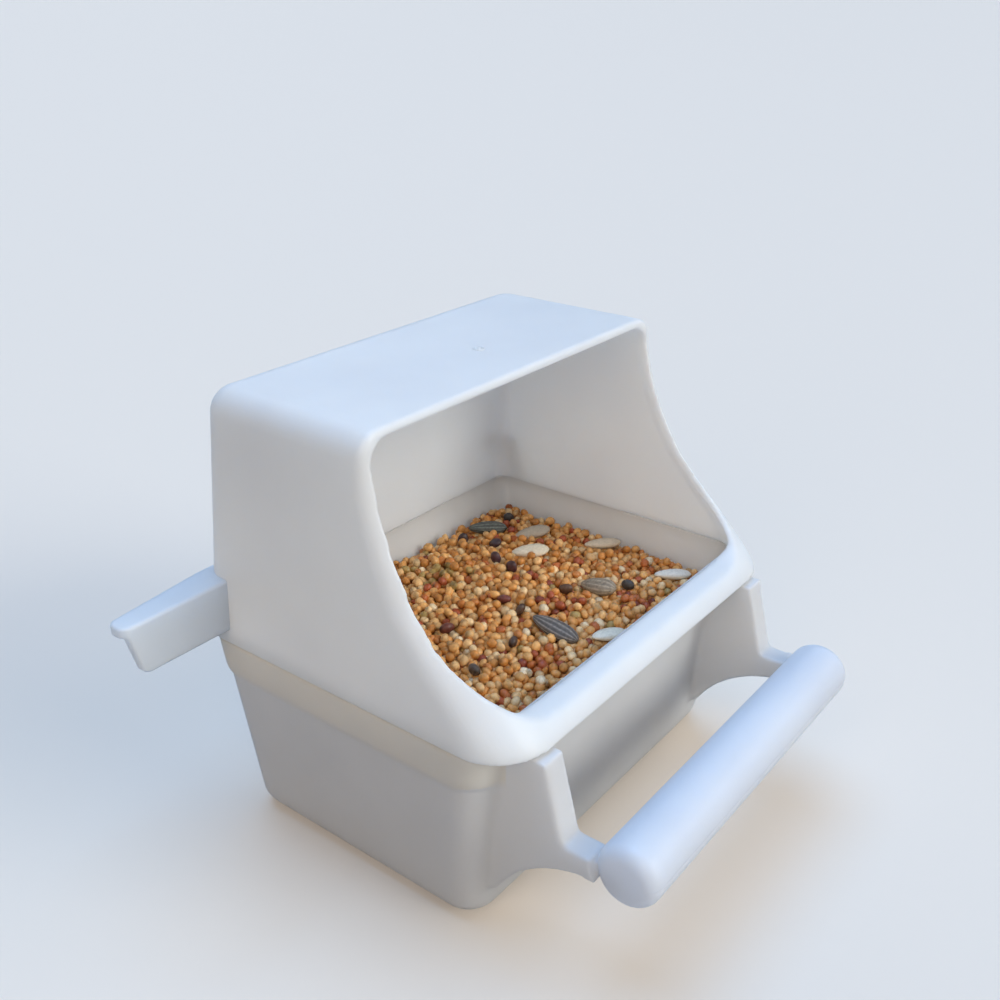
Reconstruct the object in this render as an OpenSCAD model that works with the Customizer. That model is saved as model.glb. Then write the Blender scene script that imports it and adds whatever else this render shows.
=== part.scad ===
// Hooded seed cup for a bird cage. A tapered tray holds the seed and carries a perch on two brackets.
// A hood with a window front sits on the tray's rim and lifts off, and two side hangers hook the
// hood over the wires of a cage. The origin is the centre of the tray's underside, with +X to the
// right, +Y to the back and +Z up. Lengths are in millimetres.

/* [Body] */
// Width of the hood at the joint, which is the widest line of the two shells
body_w = 95.8; // [90:0.2:102]
// Depth of the hood at the joint, without its lip
body_d = 69.4; // [65:0.2:74]
// Height of the whole cup
body_h = 93.6; // [90:0.2:98]
// Height of the joint between tray and hood
joint_z = 42.4; // [40:0.2:45]
// Wall thickness of both shells
wall = 1.9; // [1.7:0.1:2.3]
// Clearance between pieces that come apart
gap = 0.3; // [0.2:0.05:0.4]
// Clearance round pieces that stay fixed in each other
fixed_gap = 0.1; // [0.05:0.05:0.2]
// Radius of the upright corners of both shells
corner_r = 5.6; // [5:0.2:7]

/* [Hood] */
// Depth of the flat roof
roof_d = 41; // [37:1:45]
// How far each side and the back lean in from the joint up to the roof
hood_draft = 3.2; // [2:0.2:4.4]
// Radius of the edge between the roof and the walls
roof_edge_r = 4.6; // [4:0.2:5.4]
// How far the lip stands forward of the joint
lip_reach = 7.8; // [6.6:0.2:9]
// Radius of the front's corners at the roof
brow_r = 1.6; // [1.2:0.2:3]
// Radius of the lip's corners
nose_r = 11; // [9:0.5:12]
// Height of the window's sill above the joint
sill_h = 4; // [3.5:0.1:5]
// Width of the rim that the window leaves inside each side wall, at the roof
brow_bead = 0.4; // [0.2:0.1:1]
// Width of that rim at the sill
sill_bead = 1.8; // [1.2:0.1:2.6]
// Radius of the window's lower corners
sill_corner_r = 13; // [10:0.5:15]
// Radius of the window's upper corners
window_top_r = 4; // [3:0.5:6]
// Diameter of the moulding gate mark on the roof
gate_d = 2.2; // [1.6:0.1:3]

/* [Tray] */
// How far each side leans in from the joint down to the floor
tray_draft = 3.8; // [3:0.2:5]
// Radius of the edge round the floor
floor_edge_r = 4.5; // [3:0.5:6]
// How far the hood overhangs the tray's band
overhang = 0.4; // [0.3:0.1:0.8]
// Height of the thicker band round the tray's mouth
band_h = 8; // [6:0.5:10]
// How far the band stands out of the tray's wall
band_t = 0.5; // [0.3:0.1:0.8]
// Height of the rim that locates the hood; the hood's wall laps over it
rim_h = 2; // [1.6:0.1:2.4]
// Thickness of that rim, which lies flush with the hood's inner face
rim_t = 0.8; // [0.6:0.05:0.9]

/* [Perch] */
// Diameter of the perch bar
perch_d = 12.2; // [11:0.2:14]
// Length of the perch bar, over both brackets
perch_l = 80; // [76:0.5:84]
// Distance of the bar's axis in front of the joint's front edge
perch_reach = 24; // [22:0.5:26]
// Height of the bar's axis
perch_z = 26.2; // [25:0.2:27.6]
// Thickness of each bracket
bracket_t = 5.4; // [4.6:0.1:6]
// Height of each bracket's arm
arm_h = 4.2; // [3.8:0.1:5]
// Length of the tang that the bar is pushed onto
tang_l = 6; // [4:0.5:7]
// Radius of the edge round each end of the bar
perch_edge_r = 2.8; // [2:0.1:3.6]

/* [Hangers] */
// How far each hanger stands out of the body's widest line
hanger_reach = 22.4; // [20:0.2:26]
// Height of the hanger's top face
hanger_z = 56.6; // [55:0.2:58]
// Depth of the hanger's top plate, front to back
hanger_d = 7.4; // [7:0.1:8.4]
// Height of the hanger's front plate
hanger_h = 10.8; // [9:0.2:12]
// Thickness of the hanger's plates
hanger_t = 2.2; // [1.8:0.1:2.4]
// How much the top plate narrows towards its outer end
hanger_taper = 2.4; // [1:0.2:3]
// How far the top plate stands out past the front plate
hanger_step = 0.8; // [0.6:0.1:2.4]
// How far the front plate's outer edge leans in towards its lower end
hanger_lean = 2; // [1:0.1:3]
// Radius of the hanger's outer corners
hanger_r = 2; // [1.5:0.1:2.4]
// Depth of the recess in the hood's wall that the hanger's tongue is welded into
recess_d = 1.1; // [0.8:0.1:1.3]
// How far the tongue is set in from the faces of the hanger's plates
tongue_step = 0.4; // [0.3:0.05:0.5]

/* [Seed] */
// Height of the seed where it meets the tray's walls
seed_z = 35.2; // [33:0.2:36]
// How far the seed heaps up in the middle
heap_h = 2; // [1:0.1:2.6]
// Diameter of a millet grain
millet_d = 2.1; // [1.8:0.1:2.4]
// Number of loose millet grains on top of the heap
millet_n = 110; // [60:10:160]
// Length of a striped sunflower seed
sunflower_l = 11.6; // [10:0.2:13]
// Length of a pale melon seed
melon_l = 9; // [8:0.2:10]
// Diameter of a dark vetch seed
vetch_d = 3.1; // [2.6:0.1:3.6]

/* [Hidden] */

$fn = 48;
// Segments of a rounded corner, and of each stretch of the hood's front outline
corner_n = 6;
outline_n = 8;
// Overrun of a cut past the face that it opens
cut = 1;

white = "#f1f1ef";
tray_white = "#e9e8e6";
perch_white = "#edf1f5";

// Places that several pieces share
half_w = body_w / 2;
half_d = body_d / 2;
hood_bottom = joint_z + gap;
roof_back = half_d - hood_draft;
roof_front = roof_back - roof_d;
lip_front = -(half_d + lip_reach);
sill_z = joint_z + sill_h;
perch_y = -(half_d + perch_reach);
perch_r = perch_d / 2;

// Front outline of the hood from the side: shares of the way forward and of the way down
lean_shares = [[0, 0], [0.03, 0.2], [0.2, 0.4], [0.345, 0.54]];
nose_shares = [[0.345, 0.54], [0.61, 0.74], [0.94, 0.92], [0.97, 1]];
// How much of the roof's edge rounding its front edge takes
roof_front_share = 0.25;
// Place of the gate mark, as a share of the roof's depth from its back
gate_share = 0.64;
// How much the lip's inner face leans forward per length of height
lip_lean_share = 0.35;
// Least radius of a corner, where the wall leaves none
least_r = 0.6;

function bezier(p, t) =
    pow(1 - t, 3) * p[0] + 3 * pow(1 - t, 2) * t * p[1] + 3 * (1 - t) * pow(t, 2) * p[2] + pow(t, 3) * p[3];

// Points of a quarter arc about a centre, from angle a on
function quarter(centre, r, a) = [
    for (k = [0 : corner_n]) centre + r * [cos(a + 90 * k / corner_n), sin(a + 90 * k / corner_n)]
];

// A rounded rectangle at height z: half-width hw, from y0 to y1, corner radii r0 in front and r1 behind
function ring(z, hw, y0, y1, r0, r1) = [
    for (p = concat(
        quarter([hw - r1, y1 - r1], r1, 0),
        quarter([r1 - hw, y1 - r1], r1, 90),
        quarter([r0 - hw, y0 + r0], r0, 180),
        quarter([hw - r0, y0 + r0], r0, 270)
    )) [p[0], p[1], z]
];

// A solid through a stack of rings that have the same number of points, from the lowest up
module loft(rings) {
    n = len(rings[0]);
    last = len(rings) - 1;
    polyhedron(
        points = [for (r = rings) each r],
        faces = concat(
            [[for (i = [0 : n - 1]) i]],
            [
                for (j = [0 : last - 1], i = [0 : n - 1], half = [0, 1])
                    let (a = j * n + i, b = a + n, c = j * n + (i + 1) % n, d = c + n)
                    half == 0 ? [a, b, d] : [a, d, c]
            ],
            [[for (i = [n - 1 : -1 : 0]) last * n + i]]
        )
    );
}

// How far the hood's side and back have leaned in at height z
function hood_lean(z) = hood_draft * (z - joint_z) / (body_h - joint_z);
// How far the tray's wall has leaned in at height z, measured from its mouth
function tray_lean(z) = overhang + band_t + tray_draft * (1 - z / joint_z);

// Heights and front places of the hood's outline, from the lip up to the start of the roof's edge
edge_z = body_h - roof_edge_r;
outline = [
    for (k = [outline_n : -1 : 1]) bezier(nose_shares, k / outline_n),
    for (k = [outline_n : -1 : 0]) bezier(lean_shares, k / outline_n)
];
function outline_z(share) = edge_z - share * (edge_z - hood_bottom);
function outline_y(share) = roof_front + share * (lip_front - roof_front);
function front_r(z) = nose_r + (brow_r - nose_r) * (z - joint_z) / (body_h - joint_z);

// Rings of the hood, drawn in by inset all round; the inside reaches down past the joint
function hood_rings(inset, down = 0) =
    let (
        r1 = max(corner_r - inset, least_r),
        inner_front = function (z) -(half_d - inset) - lip_lean_share * (z - joint_z),
        front = function (y, z) inset > 0 ? max(y + inset, inner_front(z)) : y + inset,
        first = outline[0]
    )
    concat(
        down > 0 ? [ring(
            hood_bottom - down, half_w - inset - hood_lean(hood_bottom),
            front(outline_y(first[0]), hood_bottom), half_d - inset - hood_lean(hood_bottom),
            max(corner_r - inset, least_r), r1
        )] : [],
        [
            for (p = outline)
                let (z = outline_z(p[1]), y = outline_y(p[0]), open = z < sill_z && inset > 0)
                ring(
                    z, half_w - inset - hood_lean(z), front(y, z), half_d - inset - hood_lean(z),
                    open ? max(corner_r - inset, least_r) : max(front_r(z) - inset, least_r), r1
                )
        ],
        [
            for (k = [1 : corner_n])
                let (
                    a = 90 * k / corner_n,
                    r = max(roof_edge_r - inset, least_r),
                    e = r * (1 - cos(a)),
                    z = body_h - inset - r + r * sin(a)
                )
                ring(
                    z, half_w - inset - hood_lean(z) - e, roof_front + inset + e * roof_front_share,
                    half_d - inset - hood_lean(z) - e,
                    max(front_r(z) - inset - e * roof_front_share, least_r), max(r1 - e, least_r)
                )
        ]
    );

// A ring round the joint at height z, t inside the hood's joint line, with its corners drawn in by inset
function joint_ring(z, t, inset = 0) =
    let (r = max(corner_r - inset, least_r))
    ring(z, half_w - t, t - half_d, half_d - t, r, r);

// Outer face of the tray's rim, and the hood's face that laps over it, both inside the joint line
rim_out = wall - rim_t;
lap_in = rim_out - gap;
rim_top = joint_z + rim_h;

// Outline of the window in the hood's front, seen from the front
window_top = body_h - wall;
function window_half_w(z, bead) = half_w - wall - bead - hood_lean(z);
module window_outline() {
    low = window_half_w(sill_z, sill_bead);
    high = window_half_w(window_top, brow_bead);
    polygon(concat(
        quarter([high - window_top_r, window_top - window_top_r], window_top_r, 0),
        quarter([window_top_r - high, window_top - window_top_r], window_top_r, 90),
        quarter([sill_corner_r - low, sill_z + sill_corner_r], sill_corner_r, 180),
        quarter([low - sill_corner_r, sill_z + sill_corner_r], sill_corner_r, 270)
    ));
}

// A hanger: a top plate with a front plate below it, grown or shrunk by a margin all round
hanger_back = half_d - hood_lean(hanger_z);
hanger_front = hanger_back - hanger_d;

module hanger_plates(margin) {
    root = half_w - 2 * corner_r;
    out = half_w + hanger_reach;
    plate_out = out - hanger_step;
    low = hanger_z - hanger_h;
    under = hanger_z - hanger_t;
    translate([0, 0, under - margin])
        linear_extrude(height = hanger_t + 2 * margin)
            polygon(concat(
                [[root, hanger_front - margin], [out - hanger_r, hanger_front - margin]],
                quarter([out - hanger_r, hanger_front + hanger_r], hanger_r, 270),
                quarter([out - hanger_r, hanger_back - hanger_taper - hanger_r], hanger_r, 0),
                [[half_w, hanger_back + margin], [root, hanger_back + margin]]
            ));
    translate([0, hanger_front + hanger_t + margin, 0])
        rotate([90, 0, 0])
            linear_extrude(height = hanger_t + 2 * margin)
                polygon(concat(
                    [[root, under + hanger_t / 2], [root, low - margin]],
                    [[half_w, low - margin], [half_w, low]],
                    quarter([plate_out - hanger_lean - hanger_r, low + hanger_r], hanger_r, 270),
                    [[plate_out, under + hanger_t / 2]]
                ));
}

// Upper moulding: roof, back, sides and the rounded lip under the window
module hood() {
    color(white) {
        difference() {
            loft(hood_rings(0));
            loft(hood_rings(wall, cut));
            // Rebate inside the lower edge, which laps over the tray's rim
            loft([
                joint_ring(joint_z - cut, lap_in, lap_in),
                joint_ring(joint_z, lap_in, lap_in),
                joint_ring(rim_top + gap, lap_in + hood_lean(rim_top + gap), lap_in)
            ]);
            translate([0, roof_back - wall - corner_r, 0])
                rotate([90, 0, 0])
                    linear_extrude(height = roof_back - wall - corner_r - lip_front + cut)
                        window_outline();
            // Recesses for the hangers, sunk from the outside
            for (side = [0, 1])
                mirror([side, 0, 0])
                    difference() {
                        hanger_plates(fixed_gap - tongue_step);
                        loft(hood_rings(recess_d));
                    }
        }
        // Gate mark, a small raised disc on the roof
        translate([1.5 * gate_d, roof_back - roof_d * gate_share, body_h - wall / 2])
            cylinder(d = gate_d, h = wall / 2 + gap);
    }
}

// One L-shaped hanger. It stands against the hood's wall, and a thinner tongue sits in the recess there.
module hanger() {
    color(white)
        union() {
            difference() {
                hanger_plates(0);
                loft(hood_rings(-gap));
            }
            difference() {
                hanger_plates(-tongue_step);
                loft(hood_rings(recess_d - fixed_gap));
            }
        }
}

module hanger_right() {
    hanger();
}

module hanger_left() {
    mirror([1, 0, 0])
        hanger();
}

// Rings of the tray, drawn in by inset; the floor's edge is rounded
function tray_rings(inset, top) =
    let (
        r = max(floor_edge_r - inset, least_r),
        wall_ring = function (z, e)
            let (t = inset + tray_lean(z) + e)
            ring(z, half_w - t, t - half_d, half_d - t, corner_r - inset / 2, corner_r - inset / 2)
    )
    concat(
        [
            for (k = [0 : corner_n])
                let (a = 90 * k / corner_n)
                wall_ring(inset + r * (1 - cos(a)), r * (1 - sin(a)))
        ],
        [wall_ring(top, 0)]
    );

bracket_x = perch_l / 2 - bracket_t;
// The arm's top face above the bar's axis, as a share of the bar's radius
arm_top_share = 0.13;
arm_top = perch_z + arm_top_share * perch_r;
bracket_top = joint_z - gap;
// Side outline of a bracket: shares of the way from the tray's wall to the bar's axis, and of its height
bracket_front_shares = [0.48, 0.61];
arch_shares = [[0.13, 0.36], [0.24, 0.66], [0.5, 1], [0.9, 1]];

// One bracket: a gusset under the lip that runs forward into the perch's arm
module bracket() {
    wall_y = tray_lean(0) + wall - half_d;
    arm_low = arm_top - arm_h;
    lip_y = wall_y + bracket_front_shares[0] * (perch_y - wall_y);
    arm_y = wall_y + bracket_front_shares[1] * (perch_y - wall_y);
    translate([bracket_x, 0, 0])
        rotate([90, 0, 90])
            linear_extrude(height = bracket_t)
                polygon(concat(
                    [[wall_y, bracket_top], [lip_y, bracket_top], [arm_y, arm_top], [perch_y, arm_top]],
                    [[perch_y, arm_low]],
                    [
                        for (k = [outline_n : -1 : 0])
                            let (s = bezier(arch_shares, k / outline_n))
                            [wall_y + s[0] * (perch_y - wall_y), s[1] * arm_low]
                    ],
                    [[wall_y, arch_shares[0][1] * arm_low]]
                ));
}

// The tang on the end of a bracket's arm, and the pocket for it in the bar
module perch_tang(margin) {
    t = bracket_t / 2;
    h = arm_h / 2;
    translate([
        bracket_x + bracket_t / 2 - t / 2 - margin,
        perch_y + perch_r - tang_l - margin,
        arm_top - arm_h / 2 - h / 2 - margin
    ])
        cube([t + 2 * margin, tang_l + margin + (margin > 0 ? cut : gap + arm_h / 2), h + 2 * margin]);
}

// Lower moulding: the seed tray with its band and rim, and the two brackets for the perch
module tray() {
    color(tray_white)
        difference() {
            union() {
                loft(tray_rings(0, joint_z));
                // Band round the mouth, with a sloping lower edge
                loft([
                    joint_ring(joint_z - band_h - band_t, tray_lean(joint_z - band_h) + wall / 2),
                    joint_ring(joint_z - band_h, tray_lean(joint_z - band_h) - band_t),
                    joint_ring(joint_z, overhang)
                ]);
                // Rim that locates the hood
                loft([
                    joint_ring(joint_z - wall, rim_out, rim_out),
                    joint_ring(joint_z, rim_out, rim_out),
                    joint_ring(rim_top, rim_out + hood_lean(rim_top), rim_out)
                ]);
                for (side = [0, 1])
                    mirror([side, 0, 0])
                        difference() {
                            bracket();
                            translate([0, perch_y, perch_z])
                                rotate([0, 90, 0])
                                    cylinder(r = perch_r + gap, h = body_w);
                        }
                for (side = [0, 1])
                    mirror([side, 0, 0])
                        perch_tang(0);
            }
            // Inside, which widens from the seed up to the hood's inner face
            loft(concat(
                tray_rings(wall, seed_z),
                [
                    for (z = [rim_top, rim_top + cut])
                        joint_ring(z, wall + hood_lean(rim_top), wall)
                ]
            ));
        }
}

// Round perch with softened ends, pocketed at the back of each end for the arms' tangs
module perch_bar() {
    color(perch_white)
        difference() {
            translate([-perch_l / 2, perch_y, perch_z])
                rotate([0, 90, 0])
                    rotate_extrude()
                        polygon(concat(
                            [[0, 0]],
                            quarter([perch_r - perch_edge_r, perch_edge_r], perch_edge_r, 270),
                            quarter([perch_r - perch_edge_r, perch_l - perch_edge_r], perch_edge_r, 0),
                            [[0, perch_l]]
                        ));
            for (side = [0, 1])
                mirror([side, 0, 0])
                    perch_tang(fixed_gap);
        }
}

// Half-width and half-depth of the seed at its upper edge
seed_half_w = half_w - tray_lean(seed_z) - wall - gap;
seed_half_d = half_d - tray_lean(seed_z) - wall - gap;
// Height of the seed's surface at a place on it
function heap_z(x, y) =
    let (s = max(abs(x) / seed_half_w, abs(y) / seed_half_d))
    seed_z + heap_h * (1 - s * s);

// The seed as one heap: it fills the tray below, and its top is a low dome
module seed_heap() {
    heap_shares = [0.8, 0.6, 0.4, 0.2];
    color("#b98a4a")
        loft(concat(
            tray_rings(wall + gap, seed_z),
            [
                for (s = heap_shares)
                    ring(
                        seed_z + heap_h * (1 - s * s), seed_half_w * s, -seed_half_d * s, seed_half_d * s,
                        corner_r * s / 2, corner_r * s / 2
                    )
            ]
        ));
}

// Golden angle, which spreads the grains evenly
golden_angle = 137.508;
// How much of the heap's half-width and half-depth the loose grains cover
spread_share = 0.86;
// Places of the larger seeds, as shares of the heap's half-width and half-depth, with a turn in degrees
sunflower_shares = [[0, -0.54, 90], [0.45, -0.46, 95], [0.65, 0.76, 140]];
melon_shares = [[0.14, -0.84, 160], [0.56, 0.25, 125], [0.82, -0.76, 140], [0.76, 0.44, 135], [0.9, -0.08, 130]];
vetch_shares = [
    [0.47, 0.8], [0.84, 0.76], [0.52, 0.54], [0.38, 0.38], [0.35, 0.2], [0.06, -0.05],
    [0.33, -0.3], [0.57, -0.6], [-0.31, 0.02], [-0.21, -0.42], [0.03, -0.22], [-0.49, -0.42]
];

// Loose millet grains on the heap, kept clear of the larger seeds
function clear_of(x, y, shares, r) =
    min([for (p = shares) norm([x - p[0] * seed_half_w, y - p[1] * seed_half_d])]) > r;
module millet_grains() {
    r = millet_d / 2;
    color("#d8a862")
        for (i = [0 : millet_n - 1])
            let (
                a = i * golden_angle,
                s = sqrt((i + 1) / millet_n) * spread_share,
                x = seed_half_w * s * cos(a),
                y = seed_half_d * s * sin(a)
            )
            if (clear_of(x, y, sunflower_shares, sunflower_l / 2 + r)
                && clear_of(x, y, melon_shares, melon_l / 2 + r)
                && clear_of(x, y, vetch_shares, vetch_d / 2 + r + gap))
                translate([x, y, heap_z(x, y) + r + gap])
                    sphere(r = r);
}

// One flat seed lying on the heap: a lens of two balls, pointed at both ends of its length
module flat_seed(length, width_share, height_share) {
    scale([length / 2, length * width_share / 2, length * height_share / 2])
        sphere(r = 1, $fn = 16);
}

module sunflower_seeds() {
    flat_shares = [0.46, 0.26];
    color("#77706c")
        for (p = sunflower_shares)
            let (x = p[0] * seed_half_w, y = p[1] * seed_half_d, rise = sunflower_l * flat_shares[1] / 2)
            translate([x, y, heap_z(x, y) + rise + gap])
                rotate([0, 0, p[2]])
                    flat_seed(sunflower_l, flat_shares[0], flat_shares[1]);
}

module melon_seeds() {
    flat_shares = [0.5, 0.22];
    color("#e9e2d0")
        for (p = melon_shares)
            let (x = p[0] * seed_half_w, y = p[1] * seed_half_d, rise = melon_l * flat_shares[1] / 2)
            translate([x, y, heap_z(x, y) + rise + gap])
                rotate([0, 0, p[2]])
                    flat_seed(melon_l, flat_shares[0], flat_shares[1]);
}

module vetch_seeds() {
    r = vetch_d / 2;
    color("#4a342c")
        for (p = vetch_shares)
            let (x = p[0] * seed_half_w, y = p[1] * seed_half_d)
            translate([x, y, heap_z(x, y) + r + gap])
                sphere(r = r);
}

tray();
hood();
hanger_left();
hanger_right();
perch_bar();
seed_heap();
millet_grains();
sunflower_seeds();
melon_seeds();
vetch_seeds();
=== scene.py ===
import math

import bpy
import numpy as np
from mathutils import Matrix, Vector
from mathutils.bvhtree import BVHTree
from mathutils.kdtree import KDTree


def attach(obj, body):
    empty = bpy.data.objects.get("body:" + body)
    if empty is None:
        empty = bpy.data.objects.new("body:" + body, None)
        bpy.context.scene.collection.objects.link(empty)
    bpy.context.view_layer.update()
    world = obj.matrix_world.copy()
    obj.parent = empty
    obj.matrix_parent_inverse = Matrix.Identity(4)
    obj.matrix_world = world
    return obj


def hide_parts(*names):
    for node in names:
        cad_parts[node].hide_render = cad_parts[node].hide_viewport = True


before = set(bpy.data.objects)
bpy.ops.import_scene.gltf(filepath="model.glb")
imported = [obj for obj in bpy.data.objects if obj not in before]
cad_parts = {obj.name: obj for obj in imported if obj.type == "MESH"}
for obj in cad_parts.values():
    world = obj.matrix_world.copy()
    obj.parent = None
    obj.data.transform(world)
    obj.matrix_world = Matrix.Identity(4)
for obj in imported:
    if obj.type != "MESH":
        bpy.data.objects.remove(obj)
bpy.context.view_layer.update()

# ---------------------------------------------------------------------------
# Tray: the lower moulding, which holds the seed and carries the perch.
# Injection-moulded white polypropylene: a tapered tub with a thicker band round its mouth,
# a locating rim for the hood, and two gusseted brackets moulded in one with its front wall.
# ---------------------------------------------------------------------------

# Lengths are millimetres, and each mesh turns to metres when it is finished
MM = 0.001
body_w, body_d, body_h = 95.8, 69.4, 93.6
half_w, half_d = body_w / 2, body_d / 2
joint_z = 42.4
wall = 1.9
part_gap, fixed_gap = 0.3, 0.1
corner_r = 5.6
corner_steps = 14
least_r = 0.6
hood_draft, tray_draft = 3.2, 3.8
overhang = 0.4
band_h, band_t = 8.0, 0.5
rim_h, rim_t = 2.0, 0.8
rim_out = wall - rim_t
lap_in = rim_out - part_gap
rim_top = joint_z + rim_h
# The rim comes up to a hairline below the hood's shoulder, so that the seam inside is closed
rim_seam = 0.29
floor_edge_r = 4.5
seed_z, heap_h = 35.2, 2.0
perch_l, perch_d = 80.0, 12.2
perch_r = perch_d / 2
perch_reach = 24.0
perch_y = -(half_d + perch_reach)
perch_z = 26.2
bracket_t = 5.4
bracket_x = perch_l / 2 - bracket_t
arm_h, arm_rise = 4.2, 0.13
arm_top = perch_z + arm_rise * perch_r
tang_l = 6.0


def tray_lean(z):
    """How far the tray's wall has leaned in at height z, from its mouth."""
    return overhang + band_t + tray_draft * (1 - z / joint_z)


def hood_lean(z):
    """How far the hood's sides and back have leaned in at height z, from the joint."""
    return hood_draft * (z - joint_z) / (body_h - joint_z)


def arc(x, y, r, start, steps=16):
    """Points along a quarter of a circle, from start degrees anticlockwise."""
    angles = [math.radians(start + 90 * k / steps) for k in range(steps + 1)]
    return [(x + r * math.cos(a), y + r * math.sin(a)) for a in angles]


def circle(x, y, r, count):
    """Points round a circle, anticlockwise."""
    angles = [2 * math.pi * k / count for k in range(count)]
    return [(x + r * math.cos(a), y + r * math.sin(a)) for a in angles]


def rounded_ring(z, half, front, back, front_r, back_r):
    """A rounded rectangle at height z, anticlockwise from above, with its own radii in front."""
    outline = (
        arc(half - back_r, back - back_r, back_r, 0, corner_steps)
        + arc(back_r - half, back - back_r, back_r, 90, corner_steps)
        + arc(front_r - half, front + front_r, front_r, 180, corner_steps)
        + arc(half - front_r, front + front_r, front_r, 270, corner_steps)
    )
    return [(x, y, z) for x, y in outline]


def new_piece(name, mesh):
    piece = bpy.data.objects.new(name, mesh)
    bpy.context.scene.collection.objects.link(piece)
    return piece


def loft(name, rings):
    """A closed skin through a stack of rings with the same number of points, from the lowest up."""
    n = len(rings[0])
    faces = []
    for j in range(len(rings) - 1):
        for i in range(n):
            a, b = j * n + i, j * n + (i + 1) % n
            faces.append((a, b, b + n, a + n))
    faces.append(tuple(range(n - 1, -1, -1)))
    faces.append(tuple(range((len(rings) - 1) * n, len(rings) * n)))
    mesh = bpy.data.meshes.new(name)
    mesh.from_pydata([p for ring in rings for p in ring], [], faces)
    mesh.update()
    return new_piece(name, mesh)


def slab(name, outline, axis, low, high):
    """A flat outline pushed from low to high along an axis. Its points are in the other two."""
    put = {
        "x": lambda a, b, c: (c, a, b),
        "y": lambda a, b, c: (a, c, b),
        "z": lambda a, b, c: (a, b, c),
    }[axis]
    following = outline[1:] + outline[:1]
    area = sum(p[0] * q[1] - q[0] * p[1] for p, q in zip(outline, following))
    ordered = outline if (area > 0) != (axis == "y") else outline[::-1]
    return loft(name, [[put(a, b, c) for a, b in ordered] for c in (low, high)])


def mirrored(name, piece):
    """A copy of a piece on the other side of the middle plane."""
    mesh = piece.data.copy()
    mesh.transform(Matrix.Scale(-1, 4, (1, 0, 0)))
    mesh.flip_normals()
    return new_piece(name, mesh)


def apply_modifiers(piece):
    """Makes what a piece's modifiers give its own mesh."""
    graph = bpy.context.evaluated_depsgraph_get()
    mesh = bpy.data.meshes.new_from_object(piece.evaluated_get(graph), depsgraph=graph)
    piece.modifiers.clear()
    piece.data = mesh
    return mesh


def combine(piece, others, operation):
    """Joins pieces to a piece, or cuts them out of it, and deletes them."""
    for other in others:
        step = piece.modifiers.new("combine", "BOOLEAN")
        step.operation = operation
        step.solver = "MANIFOLD"
        step.object = other
        apply_modifiers(piece)
        bpy.data.objects.remove(other)


def points_of(mesh):
    flat = np.empty(len(mesh.vertices) * 3, np.float32)
    mesh.vertices.foreach_get("co", flat)
    return flat.reshape(-1, 3).astype(float)


def smooth(mesh):
    mesh.polygons.foreach_set("use_smooth", [True] * len(mesh.polygons))


def fade(distance, reach, steep=1.25):
    """A weight of 1 close by that falls to 0 at reach."""
    return np.clip(steep * (1 - distance / reach), 0, 1)


def edge_points(mesh):
    """Points close together along the edges of a solid, where its faces plainly turn."""
    least_turn, spacing = 24.0, 0.12
    co = points_of(mesh)
    normals = [p.normal.copy() for p in mesh.polygons]
    sides = {}
    for p in mesh.polygons:
        for key in p.edge_keys:
            sides.setdefault(key, []).append(p.index)
    found = []
    limit = math.cos(math.radians(least_turn))
    for (a, b), faces in sides.items():
        if len(faces) == 2 and normals[faces[0]].dot(normals[faces[1]]) < limit:
            length = np.linalg.norm(co[a] - co[b])
            for t in np.linspace(0, 1, max(2, int(length / spacing) + 1)):
                found.append(co[a] * (1 - t) + co[b] * t)
    return found


def soften(piece, grain, rounds, reach, extra=None, crisp=None):
    """Gives a sharp solid the small radii of a moulding.

    An even mesh of squares about grain wide is laid on the solid's faces and edges, and is
    relaxed only within reach of the edges. extra(points, distance from an edge) gives more
    weight and rounds where the real piece has larger fillets, and crisp(points) is True where
    its edges stay sharp."""
    pull, snap, sharp_deg = 0.6, 0.5 * grain, 60
    solid = piece.data
    surface = BVHTree.FromPolygons(
        [v.co for v in solid.vertices], [p.vertices for p in solid.polygons]
    )
    marks = edge_points(solid)
    edges = KDTree(len(marks))
    for i, p in enumerate(marks):
        edges.insert(p, i)
    edges.balance()
    even = piece.modifiers.new("even", "REMESH")
    even.mode = "VOXEL"
    even.voxel_size = grain
    mesh = apply_modifiers(piece)
    co = points_of(mesh)
    away = np.empty(len(co))
    for i, v in enumerate(mesh.vertices):
        co[i] = surface.find_nearest(v.co)[0]
        mark, _, away[i] = edges.find(co[i])
        if away[i] < snap:
            co[i], away[i] = mark, 0
    weight = fade(away, reach)
    if crisp is not None:
        weight[crisp(co)] = 0
    extra_rounds = 0
    if extra is not None:
        more, extra_rounds = extra(co, away)
    pairs = np.empty(len(mesh.edges) * 2, np.int32)
    mesh.edges.foreach_get("vertices", pairs)
    a, b = pairs.reshape(-1, 2).T
    count = np.bincount(pairs, minlength=len(co)).astype(float)
    for turn in range(max(rounds, extra_rounds)):
        w = weight if turn < rounds else np.zeros(len(co))
        if turn < extra_rounds:
            w = np.maximum(w, more)
        for k in range(3):
            total = np.bincount(a, co[b, k], len(co)) + np.bincount(b, co[a, k], len(co))
            co[:, k] += pull * w * (total / count - co[:, k])
    mesh.vertices.foreach_set("co", co.astype(np.float32).ravel())
    smooth(mesh)
    mesh.update()
    if crisp is not None:
        mesh.set_sharp_from_angle(angle=math.radians(sharp_deg))


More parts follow.
